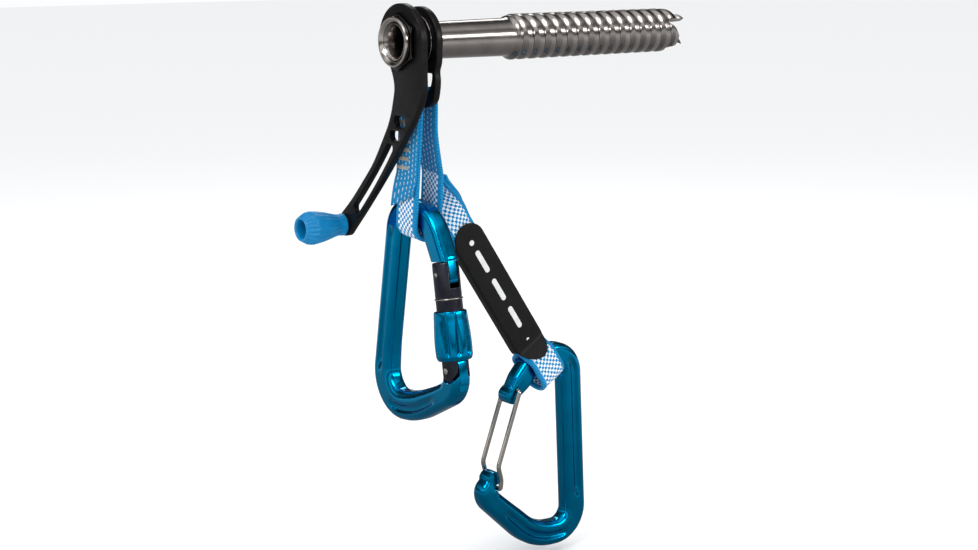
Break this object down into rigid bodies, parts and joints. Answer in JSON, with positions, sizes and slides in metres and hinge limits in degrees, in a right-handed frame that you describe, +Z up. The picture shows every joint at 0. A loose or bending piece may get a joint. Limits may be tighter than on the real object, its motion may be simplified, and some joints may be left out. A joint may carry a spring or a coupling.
{
  "type": "ice screw",
  "caption": "Threaded tube ice screw with a winding crank and knob, swivelling hanger plate, sewn sling, screw-lock carabiner and a short draw with a wire-gate carabiner.",
  "frame": {"origin": "a point of the hanger plate's rear (ice side) face, 12.2 mm straight above the tube's axis", "axes": "+X along the tube to the teeth, +Z up with the hanger and carabiners hanging down, +Y to the side the crank reaches; the tube's axis runs at Z -12.2 mm"},
  "size_m": [0.1829, 0.0837, 0.2623],
  "materials": {
    "tube_steel": "satin steel with a bright thread",
    "polished_steel": "polished steel",
    "black_aluminium": "satin black anodised",
    "blue_anodised": "glossy blue anodised",
    "gunmetal": "glossy dark grey anodised",
    "blue_plastic": "moulded blue plastic",
    "sling_tape": "woven blue tape with pale dashes",
    "draw_tape": "woven blue and white tape",
    "black_rubber": "matt black rubber"
  },
  "bodies": {
    "screw": {"screw_tube": "tube_steel", "head_ring": "polished_steel", "hex_nut": "gunmetal", "crank_arm": "black_aluminium", "front_washer": "tube_steel", "hub_spool": "black_aluminium", "rear_washer": "tube_steel", "retaining_ring": "tube_steel", "knob_pin": "polished_steel", "knob_washer": "tube_steel"},
    "knob": {"knob": "blue_plastic"},
    "hanger": {"hanger_plate": "black_aluminium"},
    "sling": {"hanger_sling": "sling_tape"},
    "locker": {"locker_frame": "blue_anodised", "locker_gate_pin": "polished_steel"},
    "gate": {"locker_gate": "gunmetal", "locker_latch_pin": "polished_steel", "locker_snap_ring": "polished_steel", "locker_gate_spring": "tube_steel"},
    "plunger": {"locker_plunger": "tube_steel"},
    "locking_sleeve": {"locker_sleeve": "blue_anodised"},
    "draw": {"draw_sling": "draw_tape", "draw_sleeve": "black_rubber"},
    "wiregate": {"wiregate_frame": "blue_anodised"},
    "wire": {"wire_gate": "polished_steel"}
  },
  "joints": [
    {"name": "hanger_swivel", "type": "hinge", "parent": "screw", "child": "hanger", "pos_m": [0, 0, -0.0122], "axis": [1, 0, 0], "continuous": true},
    {"name": "knob_spin", "type": "hinge", "parent": "screw", "child": "knob", "pos_m": [-0.02, 0.0467, -0.0976], "axis": [1, 0, 0], "continuous": true},
    {"name": "sling_swing", "type": "hinge", "parent": "hanger", "child": "sling", "pos_m": [-0.00165, 0, -0.0262], "axis": [1, 0, 0], "range_deg": [-25, 25]},
    {"name": "locker_swing", "type": "hinge", "parent": "sling", "child": "locker", "pos_m": [0.0004, 0.0055, -0.0877], "axis": [0, 1, 0], "range_deg": [-8, 8]},
    {"name": "locker_gate_hinge", "type": "hinge", "parent": "locker", "child": "gate", "pos_m": [0.0004, -0.0224, -0.1542], "axis": [-1, 0, 0], "range_deg": [0, 25]},
    {"name": "locking_sleeve_slide", "type": "slide", "parent": "gate", "child": "locking_sleeve", "axis": [0, -0.165, -0.9863], "range_m": [-0.019, 0]},
    {"name": "plunger_slide", "type": "slide", "parent": "gate", "child": "plunger", "axis": [0, 0.165, 0.9863], "range_m": [0, 0.001], "deforming": ["locker_gate_spring"]},
    {"name": "draw_swing", "type": "hinge", "parent": "sling", "child": "draw", "pos_m": [0.0089, 0.004, -0.0702], "axis": [0, 1, 0], "range_deg": [-50, 2]},
    {"name": "wiregate_swing", "type": "hinge", "parent": "draw", "child": "wiregate", "pos_m": [0.06662, 0.0045, -0.16425], "axis": [0.8333, 0, 0.5529], "range_deg": [-8, 8]},
    {"name": "wire_gate_hinge", "type": "hinge", "parent": "wiregate", "child": "wire", "pos_m": [0.0524, 0.0045, -0.1768], "axis": [0, -1, 0], "range_deg": [0, 25]}
  ],
  "couplings": [
    {"joint": "plunger_slide", "follows": "locker_gate_hinge", "m_per_rad": 0.00206}
  ]
}
